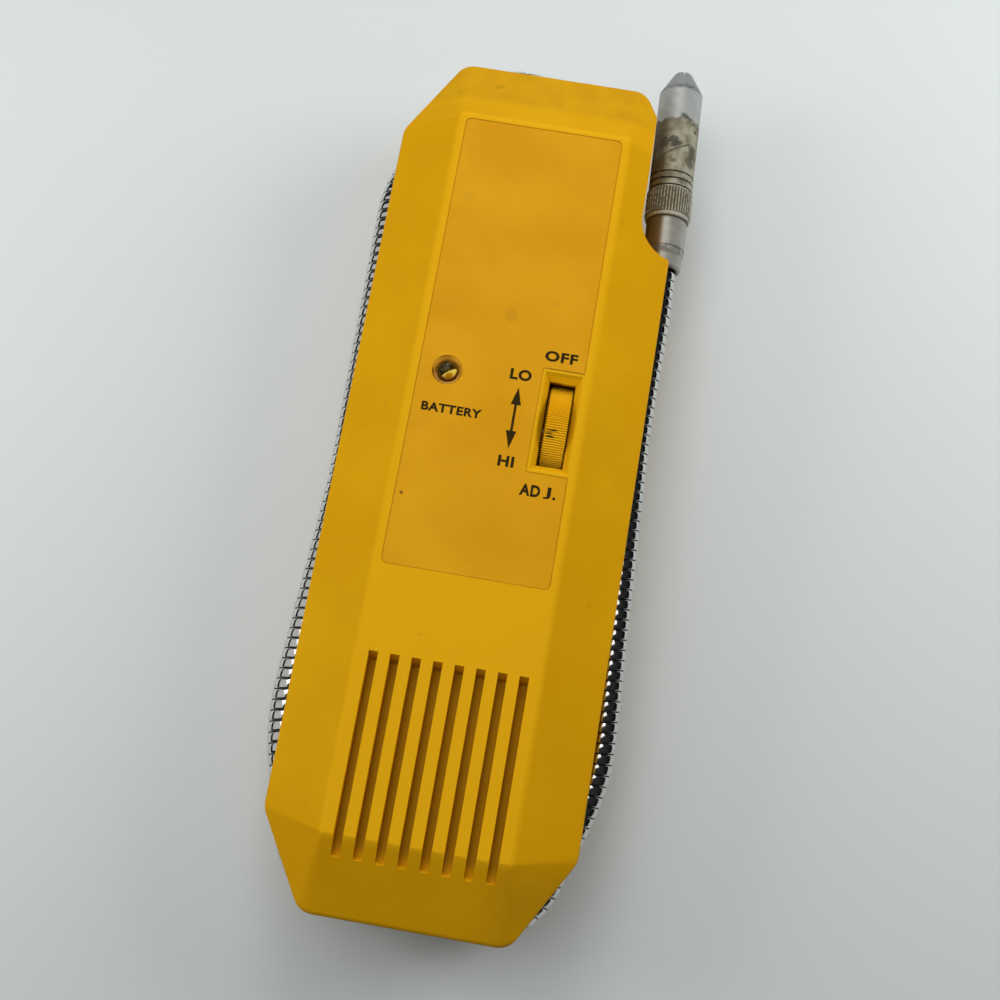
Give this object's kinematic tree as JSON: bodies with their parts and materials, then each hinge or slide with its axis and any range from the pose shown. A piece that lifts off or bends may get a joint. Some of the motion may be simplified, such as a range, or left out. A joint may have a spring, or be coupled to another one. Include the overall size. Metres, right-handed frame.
{
  "type": "refrigerant leak detector",
  "caption": "Handheld refrigerant leak detector: yellow two-part housing with a grille and thumbwheel, and a steel gooseneck probe stowed in the groove round it.",
  "frame": {"origin": "on the flat back face that the detector lies on, under the middle of the housing", "axes": "+Y along the housing towards the sensor tip end, +Z out of the front face, +X to the right seen from the front"},
  "size_m": [0.0881, 0.2406, 0.0436],
  "materials": {
    "housing": "fine-grained moulded yellow plastic",
    "label_film": "orange-yellow printed film",
    "amber_lens": "clear amber lens",
    "black_plastic": "black moulded plastic",
    "bright_steel": "bright plated steel",
    "turned_steel": "turned, worn and grimy steel",
    "screw_steel": "zinc-plated steel",
    "contact_metal": "nickel-plated spring steel",
    "board_laminate": "green epoxy laminate",
    "coil_core": "dark ferrite and tape",
    "capacitor_sleeve": "blue shrink sleeve",
    "cell_sleeve": "copper-coloured printed sleeve",
    "seal_rubber": "black rubber",
    "element_ceramic": "pale ceramic insulator with a plated needle"
  },
  "bodies": {
    "detector": {"front_housing": "housing", "rear_housing": "housing", "label_panel": "label_film", "battery_lamp": "amber_lens", "lamp_spacer": "black_plastic", "sensitivity_control": "black_plastic", "circuit_board": "board_laminate", "voltage_coil": "coil_core", "capacitors": "capacitor_sleeve", "logic_chips": "black_plastic", "drive_transistor": "black_plastic", "sounder": "black_plastic", "sounder_ring": "seal_rubber", "lower_cell": "cell_sleeve", "upper_cell": "cell_sleeve", "contact_spring": "contact_metal", "lower_contact": "contact_metal", "upper_contact": "contact_metal", "housing_screws": "screw_steel", "board_screws": "screw_steel", "neck_gland": "bright_steel", "gland_nut": "bright_steel", "gooseneck": "bright_steel", "ferrule": "bright_steel", "sensor_holder": "bright_steel", "sensing_element": "element_ceramic"},
    "wheel": {"thumbwheel": "housing", "wheel_spindle": "screw_steel"},
    "door": {"battery_door": "housing"},
    "cap_carrier": {"cap_seal": "seal_rubber"},
    "cap": {"tip_cap": "turned_steel"}
  },
  "joints": [
    {"name": "thumbwheel_turn", "type": "hinge", "parent": "detector", "child": "wheel", "pos_m": [0.0158, 0.0134, 0.0303], "axis": [1, 0, 0], "range_deg": [0, 280]},
    {"name": "door_swing", "type": "hinge", "parent": "detector", "child": "door", "pos_m": [0, 0.0068, 0.001], "axis": [1, 0, 0], "range_deg": [0, 80]},
    {"name": "cap_travel", "type": "slide", "parent": "detector", "child": "cap_carrier", "axis": [-0.0353, 0.9994, 0], "range_m": [0, 0.004]},
    {"name": "cap_turn", "type": "hinge", "parent": "cap_carrier", "child": "cap", "pos_m": [0.03727, 0.0668, 0.021], "axis": [-0.0353, 0.9994, 0], "range_deg": [0, 1440]}
  ],
  "couplings": [
    {"joint": "cap_turn", "follows": "cap_travel", "rad_per_m": 6283.2}
  ]
}
